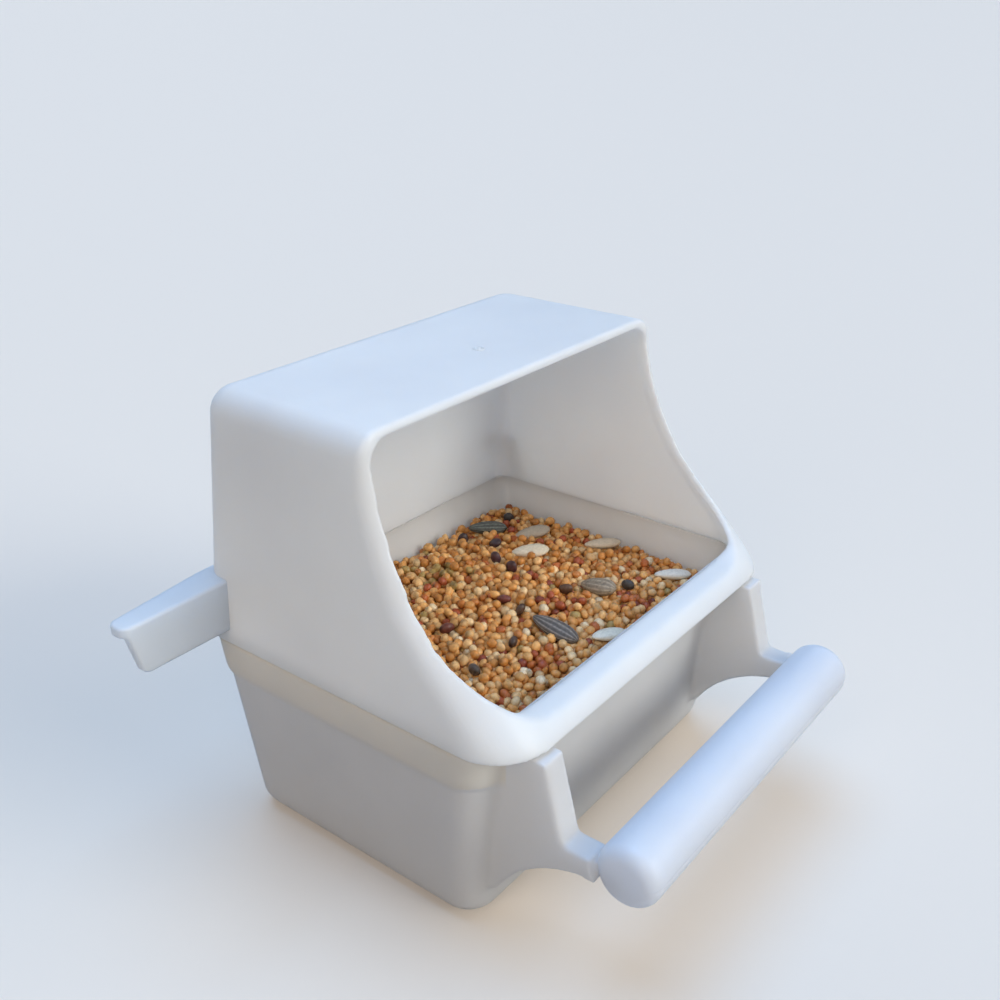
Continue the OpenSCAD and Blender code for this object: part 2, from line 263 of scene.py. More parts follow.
def tray_skin(inset, top, more_rings=()):
    """Rings of the tub, drawn in by inset, with the floor's edge rounded."""
    r = max(floor_edge_r - inset, least_r)
    c = corner_r - inset / 2
    steps = [math.pi / 2 * k / corner_steps for k in range(corner_steps + 1)]
    levels = [(inset + r * (1 - math.cos(a)), r * (1 - math.sin(a))) for a in steps]
    rings = []
    for z, e in levels + [(top, 0)]:
        t = inset + tray_lean(z) + e
        rings.append(rounded_ring(z, half_w - t, t - half_d, half_d - t, c, c))
    return rings + list(more_rings)


def joint_ring(z, t, inset=0):
    """A ring round the joint at height z, t inside its line, its corners drawn in by inset."""
    r = corner_r - inset
    return rounded_ring(z, half_w - t, t - half_d, half_d - t, r, r)


def inside_joint(x, y):
    """How far points lie inside the joint's outline, seen from above."""
    dx, dy = np.abs(x) - (half_w - corner_r), np.abs(y) - (half_d - corner_r)
    past_corner = np.hypot(np.maximum(dx, 0), np.maximum(dy, 0))
    return corner_r - past_corner - np.minimum(np.maximum(dx, dy), 0)


def inner_seam(co):
    """True at the hairline inside, where the rim is flush with the hood."""
    seam_reach, skin = 0.9, 0.3
    near = np.abs(co[:, 2] - rim_top - part_gap / 2) < seam_reach
    return near & (inside_joint(co[:, 0], co[:, 1]) > wall - skin)


def bezier(p, t):
    """The point at t on a curve from p[0] to p[3], drawn by p[1] and p[2]."""
    s = 1 - t
    shares = (s**3, 3 * s**2 * t, 3 * s * t * t, t**3)
    return tuple(sum(share * q[k] for share, q in zip(shares, p)) for k in (0, 1))


tray = loft("tray_moulding", tray_skin(0, joint_z))
band_low = joint_z - band_h
band = loft("band", [
    joint_ring(band_low - band_t, tray_lean(band_low) + wall / 2),
    joint_ring(band_low, tray_lean(band_low) - band_t),
    joint_ring(joint_z, overhang),
])
rim = loft("rim", [
    joint_ring(joint_z - wall, rim_out, rim_out),
    joint_ring(joint_z, rim_out, rim_out),
    joint_ring(rim_top + rim_seam, rim_out + hood_lean(rim_top), rim_out),
])

# One bracket from the side, in shares of the way from the wall to the perch and of the arm's
# height: a gusset under the lip, which runs forward over an arch into the perch's arm
wall_y = tray_lean(0) + wall - half_d
reach_y = perch_y - wall_y
arm_low = arm_top - arm_h
bracket_top = joint_z - part_gap
shoulder, knee = 0.48, 0.61
arch = [(0.13, 0.36), (0.24, 0.66), (0.5, 1.0), (0.9, 1.0)]
arch_steps = 24
arch_points = [bezier(arch, k / arch_steps) for k in range(arch_steps, -1, -1)]
bracket_side = [
    (wall_y, bracket_top),
    (wall_y + shoulder * reach_y, bracket_top),
    (wall_y + knee * reach_y, arm_top),
    (perch_y, arm_top),
    (perch_y, arm_low),
    *[(wall_y + along * reach_y, up * arm_low) for along, up in arch_points],
    (wall_y, arch[0][1] * arm_low),
]
bracket = slab("bracket", bracket_side, "x", bracket_x, bracket_x + bracket_t)
seat = circle(perch_y, perch_z, perch_r + part_gap, 96)
combine(bracket, [slab("seat", seat, "x", 0, body_w)], "DIFFERENCE")


def perch_tang(margin, run_out):
    """The tang on the end of a bracket's arm, or with a margin the pocket for it in the bar."""
    t, h = bracket_t / 2, arm_h / 2
    x = bracket_x + bracket_t / 2
    z = arm_top - arm_h / 2
    front, back = perch_y + perch_r - tang_l - margin, perch_y + perch_r + run_out
    low, high = z - h / 2 - margin, z + h / 2 + margin
    side = [(front, low), (back, low), (back, high), (front, high)]
    return slab("tang", side, "x", x - t / 2 - margin, x + t / 2 + margin)


combine(bracket, [perch_tang(0, part_gap + arm_h / 2)], "UNION")
combine(tray, [band, rim, mirrored("bracket_left", bracket), bracket], "UNION")
tray_inside = loft("tray_inside", tray_skin(wall, seed_z, [
    joint_ring(z, wall + hood_lean(rim_top), wall) for z in (rim_top, rim_top + 1)
]))
combine(tray, [tray_inside], "DIFFERENCE")


def bracket_fillets(co, away):
    """Larger radii where the brackets meet the wall, on their outer edges, and under the band."""
    root_reach, outer_reach, band_reach = 3.2, 2.0, 2.08
    root_side, clear, rounds = 3.5, 1.5, 22
    x, y, z = np.abs(co[:, 0]), co[:, 1], co[:, 2]
    bracket_end = bracket_x + bracket_t
    front_wall = tray_lean(z) - half_d
    near_root = fade(np.abs(y - front_wall), root_reach, 1) * (
        (x > bracket_x - root_side) & (x < bracket_end + root_side) & (z < joint_z - 1.2)
    )
    outer = fade(np.abs(x - bracket_end), outer_reach, 1) * (
        (y < front_wall - clear) & (y > perch_y + perch_r + clear) & (z < joint_z - clear)
    )
    depth = inside_joint(x, y)
    band_edge = fade(np.abs(z - (band_low - 0.2)), band_reach, 1.3) * ((depth > 0) & (depth < 2.2))
    weight = np.maximum(np.maximum(1.4 * near_root, 1.2 * outer), band_edge)
    return np.clip(weight, 0, 1), rounds


soften(tray, grain=0.4, rounds=5, reach=1.0, extra=bracket_fillets, crisp=inner_seam)
# Painted warm light on the band, told by height and by depth in the wall: 1 on its outer face, 0
# elsewhere
warm_light_below, warm_light_fade, skin_out, skin_in = 1.4, 2.4, -0.2, 1.6
tray_co = points_of(tray.data)
in_wall = inside_joint(tray_co[:, 0], tray_co[:, 1])
painted_light_share = np.clip((tray_co[:, 2] - (band_low - warm_light_below)) / warm_light_fade, 0, 1)
painted_light_share *= (in_wall > skin_out) & (in_wall < skin_in)
painted_light_layer = tray.data.attributes.new("band", "FLOAT", "POINT")
painted_light_layer.data.foreach_set("value", painted_light_share.astype(np.float32))


def linear(hex_colour):
    """An sRGB hex colour as the linear colour that a shader takes."""
    parts = [int(hex_colour[i:i + 2], 16) / 255 for i in (1, 3, 5)]
    dark_end, slope = 0.04045, 12.92
    bright = [((c + 0.055) / 1.055) ** 2.4 for c in parts]
    return tuple(c / slope if c <= dark_end else b for c, b in zip(parts, bright)) + (1.0,)


def add_node(tree, kind, settings=None, links=None, stops=()):
    """Adds a node. Settings in small letters are its properties and the others its inputs,
    links feed inputs, and stops are the places and colours of a colour ramp."""
    node = tree.nodes.new(kind)
    for name, value in (settings or {}).items():
        if isinstance(name, str) and name[0].islower():
            setattr(node, name, value)
        else:
            node.inputs[name].default_value = value
    for name, source in (links or {}).items():
        tree.links.new(source, node.inputs[name])
    for i, (position, colour) in enumerate(stops):
        stop = node.color_ramp.elements[i]
        stop.position, stop.color = position, linear(colour)
    return node


def new_material(name):
    """An empty material, and the tree to add nodes to."""
    material = bpy.data.materials.new(name)
    material.use_nodes = True
    material.node_tree.nodes.clear()
    return material, material.node_tree


def finish_material(tree, shader):
    add_node(tree, "ShaderNodeOutputMaterial", links={"Surface": shader.outputs[0]})


# A noise keeps mostly between these values
noise_middle = {"From Min": 0.3, "From Max": 0.7}


def moulded_polypropylene(name, base, shade, roughness, painted_warm_light=None):
    """Natural white polypropylene from a satin mould.

    It gives the eye a soft sheen, daylight that comes through the wall, faint flow clouds, a
    gloss that changes from spot to spot, slight sinking between thick and thin places, and the
    fine spark-eroded grain of the mould."""
    cloud_w, spot_w, sink_w, grain_w = 25 * MM, 6 * MM, 18 * MM, 0.5 * MM
    sink_h, grain_h = 0.6 * MM, 0.06 * MM
    light_through = 0.3
    material, tree = new_material(name)
    place = add_node(tree, "ShaderNodeTexCoord").outputs["Object"]
    clouds = add_node(tree, "ShaderNodeTexNoise",
                      {"Scale": 1 / cloud_w, "Detail": 2.0, "Roughness": 0.55}, {"Vector": place})
    tone = add_node(tree, "ShaderNodeValToRGB", links={"Fac": clouds.outputs[0]},
                    stops=[(0.3, shade), (0.7, base)])
    colour = tone.outputs[0]
    # Painted warm light: a warm colour multiplied into the band's outer face
    if painted_warm_light:
        band = add_node(tree, "ShaderNodeAttribute", {"attribute_name": "band"})
        mix = add_node(tree, "ShaderNodeMix",
                       {"data_type": "RGBA", "blend_type": "MULTIPLY", "B": linear(painted_warm_light)},
                       {"Factor": band.outputs["Fac"], "A": colour})
        colour = mix.outputs["Result"]
    spots = add_node(tree, "ShaderNodeTexNoise",
                     {"Scale": 1 / spot_w, "Detail": 4.0, "Roughness": 0.6}, {"Vector": place})
    gloss = add_node(tree, "ShaderNodeMapRange",
                     {**noise_middle, "To Min": roughness - 0.05, "To Max": roughness + 0.07},
                     {"Value": spots.outputs[0]})
    grain = add_node(tree, "ShaderNodeTexNoise",
                     {"Scale": 1 / grain_w, "Detail": 2.0, "Roughness": 0.5}, {"Vector": place})
    slow = add_node(tree, "ShaderNodeTexNoise", {"Scale": 1 / sink_w, "Detail": 1.0},
                    {"Vector": place})
    sunk = add_node(tree, "ShaderNodeBump", {"Strength": 0.25, "Distance": sink_h},
                    {"Height": slow.outputs[0]})
    bump = add_node(tree, "ShaderNodeBump", {"Strength": 0.12, "Distance": grain_h},
                    {"Height": grain.outputs[0], "Normal": sunk.outputs[0]})
    plastic = add_node(tree, "ShaderNodeBsdfPrincipled", {
        "IOR": 1.49, "Subsurface Weight": 0.55, "Subsurface Radius": (0.9, 0.95, 1.0),
        "Subsurface Scale": 3 * MM,
    }, {"Base Color": colour, "Roughness": gloss.outputs[0], "Normal": bump.outputs[0]})
    through = add_node(tree, "ShaderNodeBsdfTranslucent", links={"Color": colour})
    lit_through = add_node(tree, "ShaderNodeMixShader", {0: light_through},
                           {1: plastic.outputs[0], 2: through.outputs[0]})
    finish_material(tree, lit_through)
    return material


def place_piece(piece, body, slot_name, material, *nodes):
    """Turns a finished mesh from millimetres to metres and enters it in the frame."""
    piece.data.transform(Matrix.Scale(MM, 4))
    piece.data.materials.clear()
    piece.data.materials.append(material)
    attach(piece, body)
    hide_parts(*nodes)


# The tray's base is greyer than the hood's: painted shade on the same white plastic. Its last
# colour is the band's painted warm light
tray_polypropylene = moulded_polypropylene(
    "satin_white_polypropylene_tray", "#ECEBEA", "#E6E5E4", 0.42, "#FFFAF0"
)
place_piece(tray, "tray", "tray_plastic", tray_polypropylene, "tray")

# ---------------------------------------------------------------------------
# Hood: the upper moulding, which keeps the seed in and the bird's head dry.
# Injection-moulded white polypropylene in one piece: flat roof, back and sides, and a window
# whose side edges sweep forward in an S into a rounded lip. It lifts off the tray's rim.
# ---------------------------------------------------------------------------
hood_bottom = joint_z + part_gap
roof_d = 41.0
roof_back = half_d - hood_draft
roof_front = roof_back - roof_d
roof_edge_r = 4.6
edge_z = body_h - roof_edge_r
lip_reach = 7.8
lip_front = -(half_d + lip_reach)
# Inside, the wall behind the lip slopes forward from the tray's line by this share of its height
lip_slope = 0.35
sill_h = 4.0
sill_z = joint_z + sill_h
brow_r, nose_r = 1.6, 11.0
# The corners' inside radius turns from the tray's to the front's over this height at the sill
corner_turn_h = 3.0
# The front from the side: shares of the way from the roof's front to the lip's, and down
lean_curve = [(0, 0), (0.03, 0.2), (0.2, 0.4), (0.345, 0.54)]
nose_curve = [(0.345, 0.54), (0.61, 0.74), (0.94, 0.92), (0.97, 1)]
outline_steps = 22
front_outline = [bezier(nose_curve, k / outline_steps) for k in range(outline_steps, 0, -1)]
front_outline += [bezier(lean_curve, k / outline_steps) for k in range(outline_steps, -1, -1)]


def front_r(z):
    """Radius of the hood's front corners at height z, from the lip's nose up to the brow."""
    return nose_r + (brow_r - nose_r) * (z - joint_z) / (body_h - joint_z)


def hood_rings(inset, down=0):
    """Rings of the hood, drawn in by inset all round; the inside reaches down past the joint."""
    back_r = max(corner_r - inset, least_r)
    is_inside = inset > 0.5

    def front(y, z):
        inner = -(half_d - inset) - lip_slope * (z - joint_z)
        return max(y + inset, inner) if is_inside else y + inset

    def corner(z):
        above = min(max((z - sill_z) / corner_turn_h + 0.5, 0), 1) if is_inside else 1
        return max((corner_r - inset) * (1 - above) + (front_r(z) - inset) * above, least_r)

    rings = []
    if down:
        y = roof_front + front_outline[0][0] * (lip_front - roof_front)
        lean = inset + hood_lean(hood_bottom)
        rings.append(rounded_ring(
            hood_bottom - down, half_w - lean, front(y, hood_bottom), half_d - lean, back_r, back_r
        ))
    for forward, below in front_outline:
        z = edge_z - below * (edge_z - hood_bottom)
        y = roof_front + forward * (lip_front - roof_front)
        lean = inset + hood_lean(z)
        rings.append(
            rounded_ring(z, half_w - lean, front(y, z), half_d - lean, corner(z), back_r)
        )
    # The front edge of the roof is only slightly rounded, the others by roof_edge_r
    brow_share = 0.25
    r = max(roof_edge_r - inset, least_r)
    for k in range(1, corner_steps + 1):
        a = math.pi / 2 * k / corner_steps
        e = r * (1 - math.cos(a))
        z = body_h - inset - r + r * math.sin(a)
        lean = inset + hood_lean(z) + e
        rings.append(rounded_ring(
            z, half_w - lean, roof_front + inset + e * brow_share, half_d - lean,
            max(front_r(z) - inset - e * brow_share, least_r), max(back_r - e, least_r)
        ))
    return rings


window_top = body_h - wall
sill_frame, brow_frame = 1.8, 0.4
sill_half = half_w - wall - sill_frame - hood_lean(sill_z)
brow_half = half_w - wall - brow_frame - hood_lean(window_top)
sill_r, brow_corner_r = 13.0, 4.0
window = (
    arc(brow_half - brow_corner_r, window_top - brow_corner_r, brow_corner_r, 0)
    + arc(brow_corner_r - brow_half, window_top - brow_corner_r, brow_corner_r, 90)
    + arc(sill_r - sill_half, sill_z + sill_r, sill_r, 180)
    + arc(sill_half - sill_r, sill_z + sill_r, sill_r, 270)
)
hood = loft("hood_moulding", hood_rings(0))
combine(hood, [
    loft("hood_inside", hood_rings(wall, 1)),
    loft("rebate", [
        joint_ring(joint_z - 1, lap_in, lap_in),
        joint_ring(joint_z, lap_in, lap_in),
        joint_ring(rim_top + part_gap, lap_in + hood_lean(rim_top + part_gap), lap_in),
    ]),
    slab("window", window, "y", lip_front - 1, roof_back - wall - corner_r),
], "DIFFERENCE")


def window_rim(co, away):
    """The window's rim is rounded over its whole thickness, while the joint's edge stays crisp."""
    rim_reach, below_sill, behind_brow, blend, rounds = 2.8, 3.5, 6.0, 2.0, 18
    y, z = co[:, 1], co[:, 2]
    region = np.clip((z - sill_z + below_sill) / blend, 0, 1)
    region = region * np.clip((roof_front + behind_brow - y) / blend, 0, 1)
    return region * fade(away, rim_reach), rounds


soften(hood, grain=0.36, rounds=5, reach=0.8, extra=window_rim, crisp=inner_seam)
hood_polypropylene = moulded_polypropylene(
    "satin_white_polypropylene_hood", "#F7F7F5", "#F2F2F1", 0.36
)
place_piece(hood, "hood", "hood_plastic", hood_polypropylene, "hood")

# ---------------------------------------------------------------------------
# Gate mark: the small scar where the plastic was injected, near the middle of the roof.
# The same polypropylene as the hood: a shallow ring with a trimmed nub in it.
# ---------------------------------------------------------------------------
gate_x, gate_share = 3.3, 0.64
# Radius and height, from the foot of the ring in to the top of the nub
gate_profile = [
    (1.35, -0.1), (1.3, 0.0), (1.12, 0.22), (0.92, 0.28), (0.74, 0.16),
    (0.6, 0.02), (0.5, 0.06), (0.42, 0.24), (0.22, 0.3), (0.02, 0.3),
]
gate = loft("gate_mark", [[(x, y, z) for x, y in circle(0, 0, r, 48)] for r, z in gate_profile])
gate.data.transform(Matrix.Translation((gate_x, roof_back - roof_d * gate_share, body_h)))
smooth(gate.data)
place_piece(gate, "hood", "hood_plastic", hood_polypropylene, "hood")

# ---------------------------------------------------------------------------
# Hangers: two L-shaped wings that hook over a horizontal wire of the cage.
# Flat moulded polypropylene plates, welded into shallow recesses in the hood's side walls. The
# top plate narrows outwards and stands a little past the front plate.
# ---------------------------------------------------------------------------
hanger_z, hanger_d, hanger_h, hanger_t = 56.6, 7.4, 10.8, 2.2
hanger_reach, hanger_taper, hanger_step, hanger_lean, hanger_r = 22.4, 2.4, 0.8, 2.0, 2.0
recess = 1.0
hanger_back = half_d - hood_lean(hanger_z)
hanger_front = hanger_back - hanger_d
hanger_out = half_w + hanger_reach
hanger_root = half_w - 2 * corner_r
hanger_low = hanger_z - hanger_h
top_plate = (
    [(hanger_root, hanger_front)]
    + arc(hanger_out - hanger_r, hanger_front + hanger_r, hanger_r, 270)
    + arc(hanger_out - hanger_r, hanger_back - hanger_taper - hanger_r, hanger_r, 0)
    + [(half_w, hanger_back), (hanger_root, hanger_back)]
)
plate_out = hanger_out - hanger_step
plate_top = hanger_z - hanger_t / 2
front_plate = (
    [(hanger_root, plate_top), (hanger_root, hanger_low), (half_w, hanger_low)]
    + arc(plate_out - hanger_lean - hanger_r, hanger_low + hanger_r, hanger_r, 270)
    + [(plate_out, plate_top)]
)
hanger_right = slab("right_hanger", top_plate, "z", hanger_z - hanger_t, hanger_z)
combine(hanger_right, [
    slab("plate", front_plate, "y", hanger_front, hanger_front + hanger_t)
], "UNION")
combine(hanger_right, [loft("root", hood_rings(recess))], "DIFFERENCE")
soften(hanger_right, grain=0.3, rounds=5, reach=0.8)
hanger_left = mirrored("left_hanger", hanger_right)
# The hangers' base is darker and bluer than the hood's: painted shade and painted skylight on the
# same white plastic
hanger_polypropylene = moulded_polypropylene(
    "satin_white_polypropylene_hangers", "#EAEEF2", "#E2E6EA", 0.38
)
place_piece(hanger_right, "hood", "hood_plastic", hanger_polypropylene, "hanger_right")
place_piece(hanger_left, "hood", "hood_plastic", hanger_polypropylene, "hanger_left")

# ---------------------------------------------------------------------------
# Perch: the round bar that the bird stands on, pushed onto the tangs of the tray's two arms.
# Moulded white polypropylene with softened ends, and the fine groove and step of the mould's
# parting along its widest line, front and back. Two pockets at the back take the tangs.
# ---------------------------------------------------------------------------
perch_edge_r = 2.8
groove_depth, groove_deg, parting_step = 0.22, 2.6, 0.12
round_steps, long_steps, end_steps = 180, 90, 10
end_curve = []
for k in range(end_steps + 1):
    a = math.pi / 2 * k / end_steps
    end_curve.append((perch_edge_r * (1 - math.cos(a)), perch_edge_r * (1 - math.sin(a))))
straight = perch_l - 2 * perch_edge_r
stations = end_curve + [
    (perch_edge_r + straight * k / long_steps, 0) for k in range(1, long_steps)
] + [(perch_l - x, e) for x, e in reversed(end_curve)]
perch_rings = []
for x, e in stations:
    ring = []
    for k in range(round_steps):
        degrees = 360 * k / round_steps
        # Degrees from the widest line, where the groove runs; the lower half is a step smaller
        turn = abs((degrees + 90) % 180 - 90)
        groove = groove_depth * math.exp(-((turn / groove_deg) ** 2)) * max(1 - e, 0)
        lower = parting_step if degrees >= 180 else 0
        r = perch_r - e - groove - lower * max(1 - e / perch_edge_r, 0)
        a = math.radians(degrees)
        ring.append((x - perch_l / 2, perch_y + r * math.cos(a), perch_z + r * math.sin(a)))
    perch_rings.append(ring)
perch = loft("perch", perch_rings)
pocket_right = perch_tang(fixed_gap, 1.0)
combine(perch, [pocket_right, mirrored("pocket_left", pocket_right)], "DIFFERENCE")
smooth(perch.data)
perch.data.set_sharp_from_angle(angle=math.radians(40))
# The perch's base is a little darker and bluer than the hood's: painted skylight on the same white
# plastic
perch_polypropylene = moulded_polypropylene(
    "satin_white_polypropylene_perch", "#ECEFF4", "#E6E9EF", 0.34
)
place_piece(perch, "perch", "perch_plastic", perch_polypropylene, "perch_bar")

# ---------------------------------------------------------------------------
# Seed bed: the loose seed below the top grains. It fills the tray, and its top is a low dome.
# The grains themselves lie on it in the next section; here only the packed, shaded seed shows
# between them.
# ---------------------------------------------------------------------------
seed_half_w = half_w - tray_lean(seed_z) - wall - part_gap
seed_half_d = half_d - tray_lean(seed_z) - wall - part_gap
bed_below = 0.6
dome_steps = 15


def heap_z(x, y):
    """Height of the heap's dome at x, y."""
    s = np.minimum(np.maximum(np.abs(x) / seed_half_w, np.abs(y) / seed_half_d), 1)
    return seed_z + heap_h * (1 - s * s)


bed_rings = tray_skin(wall + part_gap, seed_z - bed_below)
for k in range(dome_steps - 1, 0, -1):
    s = k / dome_steps
    r = corner_r * s / 2
    z = heap_z(seed_half_w * s, 0) - bed_below
    bed_rings.append(rounded_ring(z, seed_half_w * s, -seed_half_d * s, seed_half_d * s, r, r))
bed = loft("seed_bed", bed_rings)
smooth(bed.data)

packed_seed, tree = new_material("packed_millet_in_shade")
# Grains 2 mm wide, seen only as dark gaps and dull husks below the top ones
place = add_node(tree, "ShaderNodeTexCoord")
cells = add_node(tree, "ShaderNodeTexVoronoi", {"Scale": 1 / (2 * MM)},
                 {"Vector": place.outputs["Object"]})
depth = add_node(tree, "ShaderNodeValToRGB", links={"Fac": cells.outputs["Distance"]},
                 stops=[(0.1, "#A8703A"), (0.75, "#4E2E14")])
rounded = add_node(tree, "ShaderNodeBump", {"Strength": 0.8, "Distance": 0.8 * MM, "invert": True},
                   {"Height": cells.outputs["Distance"]})
shader = add_node(tree, "ShaderNodeBsdfPrincipled", {"Roughness": 0.6},
                  {"Base Color": depth.outputs[0], "Normal": rounded.outputs[0]})
finish_material(tree, shader)
place_piece(bed, "tray", "millet", packed_seed, "seed_heap")

# ---------------------------------------------------------------------------
# Millet: the loose grains that make the seed's surface.
# Ripe hulled grains about 2 mm wide in gold, straw, rust and olive. They lie as poured, in two
# close layers with a few more on top, each a slightly flattened ball with a darker tip.
# ---------------------------------------------------------------------------
chance = np.random.default_rng(41)
grain_d, grain_spread, least_d, most_d = 2.12, 0.14, 1.6, 2.4
grain_pitch, row_share = 2.06, 0.87
shake, unevenness = 0.28, 0.22


def ball():
    """A unit ball of few faces with its axis along Z, to be repeated thousands of times."""
    rings, around = 6, 8
    points, faces = [(0.0, 0.0, -1.0)], []
    for j in range(1, rings):
        a = math.pi * j / rings
        for i in range(around):
            b = 2 * math.pi * (i + 0.5 * (j % 2)) / around
            points.append((math.sin(a) * math.cos(b), math.sin(a) * math.sin(b), -math.cos(a)))
    points.append((0.0, 0.0, 1.0))
    top = len(points) - 1
    last = 1 + (rings - 2) * around
    for i in range(around):
        faces.append((0, 1 + (i + 1) % around, 1 + i))
        faces.append((last + i, last + (i + 1) % around, top))
    for j in range(rings - 2):
        for i in range(around):
            a, b = 1 + j * around + i, 1 + j * around + (i + 1) % around
            c, d = a + around, b + around
            faces += [(a, b, c), (b, d, c)] if j % 2 == 0 else [(a, b, d), (a, d, c)]
    return np.array(points), faces


def turned(count):
    """Even random turns, as matrices."""
    q = chance.normal(size=(count, 4))
    w, x, y, z = (q / np.linalg.norm(q, axis=1)[:, None]).T
    return np.stack([
        np.stack([1 - 2 * (y * y + z * z), 2 * (x * y - z * w), 2 * (x * z + y * w)], 1),
        np.stack([2 * (x * y + z * w), 1 - 2 * (x * x + z * z), 2 * (y * z - x * w)], 1),
        np.stack([2 * (x * z - y * w), 2 * (y * z + x * w), 1 - 2 * (x * x + y * y)], 1),
    ], 1)


def keep_inside(x, y, z, r):
    """True where a grain is clear of the tray's walls and rounded corners."""
    clear = 0.25
    lean = tray_lean(z) + wall + clear + r
    dx = np.abs(x) - (half_w - lean - corner_r + r)
    dy = np.abs(y) - (half_d - lean - corner_r + r)
    past_corner = np.hypot(np.maximum(dx, 0), np.maximum(dy, 0))
    return past_corner + np.minimum(np.maximum(dx, dy), 0) < corner_r - r


def layer(height, share, shift):
    """Places of one layer of grains: a close lattice, shaken up, at a height above the heap."""
    rows = int(2 * half_d / (grain_pitch * row_share)) + 2
    columns = int(2 * half_w / grain_pitch) + 2
    i, j = np.meshgrid(np.arange(columns), np.arange(rows))
    x = (i + 0.5 * (j % 2) + shift[0]).ravel() * grain_pitch - half_w
    y = (j + shift[1]).ravel() * grain_pitch * row_share - half_d
    x = x + chance.normal(0, shake, x.shape)
    y = y + chance.normal(0, shake, x.shape)
    z = heap_z(x, y) + height + chance.normal(0, unevenness, x.shape)
    keep = keep_inside(x, y, z, grain_d / 2) & (chance.random(x.shape) < share)
    return np.stack([x, y, z], 1)[keep]


# The larger seeds' places: shares of the seed's half-width and half-depth, and a turn in degrees
sunflower_places = [(0, -0.54, 90), (0.45, -0.46, 95), (0.65, 0.76, 140)]
melon_places = [
    (0.14, -0.84, 160), (0.56, 0.25, 125), (0.82, -0.76, 140), (0.76, 0.44, 135), (0.9, -0.08, 130),
]
vetch_places = [
    (0.47, 0.8), (0.84, 0.76), (0.52, 0.54), (0.38, 0.38), (0.35, 0.2), (0.06, -0.05),
    (0.33, -0.3), (0.57, -0.6), (-0.31, 0.02), (-0.21, -0.42), (0.03, -0.22), (-0.49, -0.42),
]
seed_rise = 2.5

grains = np.concatenate([
    layer(0.3, 1.0, (0.0, 0.0)), layer(1.45, 1.0, (0.5, 0.33)), layer(2.5, 0.3, (0.2, 0.6))
])
# Grains under the larger seeds stay low, so that these lie on top
seed_beds = ((sunflower_places, 11.6, 5.3), (melon_places, 9.0, 4.5), (vetch_places, 3.1, 3.1))
bed_margin, bed_height = 0.7, 1.0
for places, length, width in seed_beds:
    for px, py, *turn in places:
        angle = math.radians(turn[0] if turn else 0)
        c, s = math.cos(angle), math.sin(angle)
        dx, dy = grains[:, 0] - px * seed_half_w, grains[:, 1] - py * seed_half_d
        u, v = dx * c + dy * s, dy * c - dx * s
        under = (u / (length / 2 + bed_margin)) ** 2 + (v / (width / 2 + bed_margin)) ** 2 < 1
        top = heap_z(grains[under, 0], grains[under, 1]) + bed_height
        grains[under, 2] = np.minimum(grains[under, 2], top)

husk_colours = ["#EDB36D", "#E2A159", "#F1C183", "#F5D3A0", "#D9934A", "#CB813F",
                "#F8E2BC", "#BE6A33", "#AC5530", "#8F432C", "#B89A5C", "#DDB27C"]
husk_shares = [0.21, 0.18, 0.19, 0.09, 0.13, 0.07, 0.03, 0.03, 0.02, 0.01, 0.015, 0.025]
# Where the rust and the olive grains gather: places as shares, reach in mm, the colours there
husk_patches = [
    ((0.24, -0.37), 5.0, (7, 8, 9)), ((0.5, -0.71), 4.5, (7, 8, 9)), ((-0.2, -0.68), 5.0, (7, 8)),
    ((0.78, -0.5), 6.0, (5, 7, 8)), ((0.13, 0.6), 9.0, (10, 10, 5)), ((-0.6, 0.3), 8.0, (10, 4)),
]


def grain_mesh(name, places, sizes, colours, flatness=0.84, length=1.06):
    """One mesh of many grains, each with its own size, turn and husk colour."""
    tip_start, tip_dark = 0.72, 0.55
    unit, faces = ball()
    count, per = len(places), len(unit)
    shape = unit * np.array([1.0, flatness, length])
    co = np.einsum("nij,pj->npi", turned(count), shape) * (sizes / 2)[:, None, None]
    co = co + places[:, None, :]
    firsts = (np.arange(count) * per)[:, None, None]
    all_faces = (np.array(faces, np.int32)[None] + firsts).reshape(-1, 3)
    mesh = bpy.data.meshes.new(name)
    mesh.vertices.add(count * per)
    mesh.vertices.foreach_set("co", co.astype(np.float32).ravel())
    mesh.loops.add(all_faces.size)
    mesh.loops.foreach_set("vertex_index", all_faces.ravel())
    mesh.polygons.add(len(all_faces))
    mesh.polygons.foreach_set("loop_start", np.arange(0, all_faces.size, 3, dtype=np.int32))
    smooth(mesh)
    mesh.update(calc_edges=True)
    shade = 1 - tip_dark * np.clip((unit[:, 2] - tip_start) / (1 - tip_start), 0, 1)
    husk = np.ones((count, per, 4), np.float32)
    husk[:, :, :3] = np.array(colours)[:, None, :3] * shade[None, :, None]
    paint = mesh.color_attributes.new("husk", "FLOAT_COLOR", "POINT")
    paint.data.foreach_set("color", husk.ravel())
    mesh.validate()
    return new_piece(name, mesh)


def patchy(places):
    """A husk colour for each place: the rust and the olive ones gather in loose patches."""
    count = len(places)
    shares = np.array(husk_shares) / sum(husk_shares)
    chosen = chance.choice(len(husk_colours), size=count, p=shares)
    for (px, py), reach, kinds in husk_patches:
        away = np.hypot(places[:, 0] - px * seed_half_w, places[:, 1] - py * seed_half_d)
        here = chance.random(count) < 0.6 * fade(away, reach, 1.4)
        chosen[here] = chance.choice(kinds, size=here.sum())
    value = 0.86 + 0.26 * chance.random((count, 1))
    shades = np.concatenate([value, value, value, np.ones((count, 1))], 1)
    return np.array([linear(c) for c in husk_colours])[chosen] * shades


sizes = np.clip(chance.normal(grain_d, grain_spread, len(grains)), least_d, most_d)
millet = grain_mesh("millet", grains, sizes, patchy(grains))

millet_husk, tree = new_material("polished_millet_husk")
